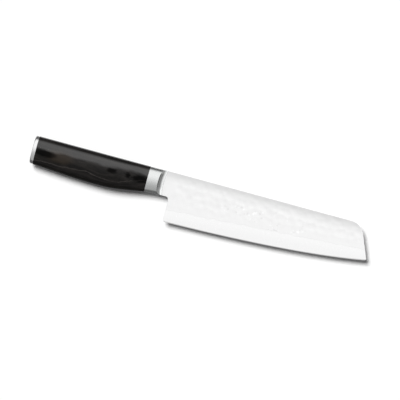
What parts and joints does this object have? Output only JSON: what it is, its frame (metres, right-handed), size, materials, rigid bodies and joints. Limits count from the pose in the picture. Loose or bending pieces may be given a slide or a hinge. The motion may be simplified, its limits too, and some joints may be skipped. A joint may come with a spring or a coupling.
{
  "type": "santoku knife",
  "caption": "Santoku kitchen knife with a flat-ground laminated blade, blunt slanted nose, scooped steel bolster, dark wooden grip and steel end cap.",
  "frame": {"origin": "middle of the knife's footprint, on the plane that its left side rests on", "axes": "+X from the butt to the tip, +Y from the cutting edge to the spine, +Z out of the blade's right face"},
  "size_m": [0.3064, 0.0438, 0.0206],
  "materials": {
    "edge_steel": "fine ground hard steel, satin",
    "layered_steel": "hammered, layered steel, bright satin",
    "satin_steel": "satin stainless steel",
    "plain_steel": "plain drawn bar, hidden",
    "laminated_wood": "near-black resin-filled laminated wood, polished",
    "polished_steel": "polished stainless steel"
  },
  "bodies": {
    "root": {"blade_core": "edge_steel", "right_cladding": "layered_steel", "left_cladding": "layered_steel", "bolster": "satin_steel", "tang_rod": "plain_steel", "handle": "laminated_wood", "end_cap": "polished_steel"}
  },
  "joints": []
}
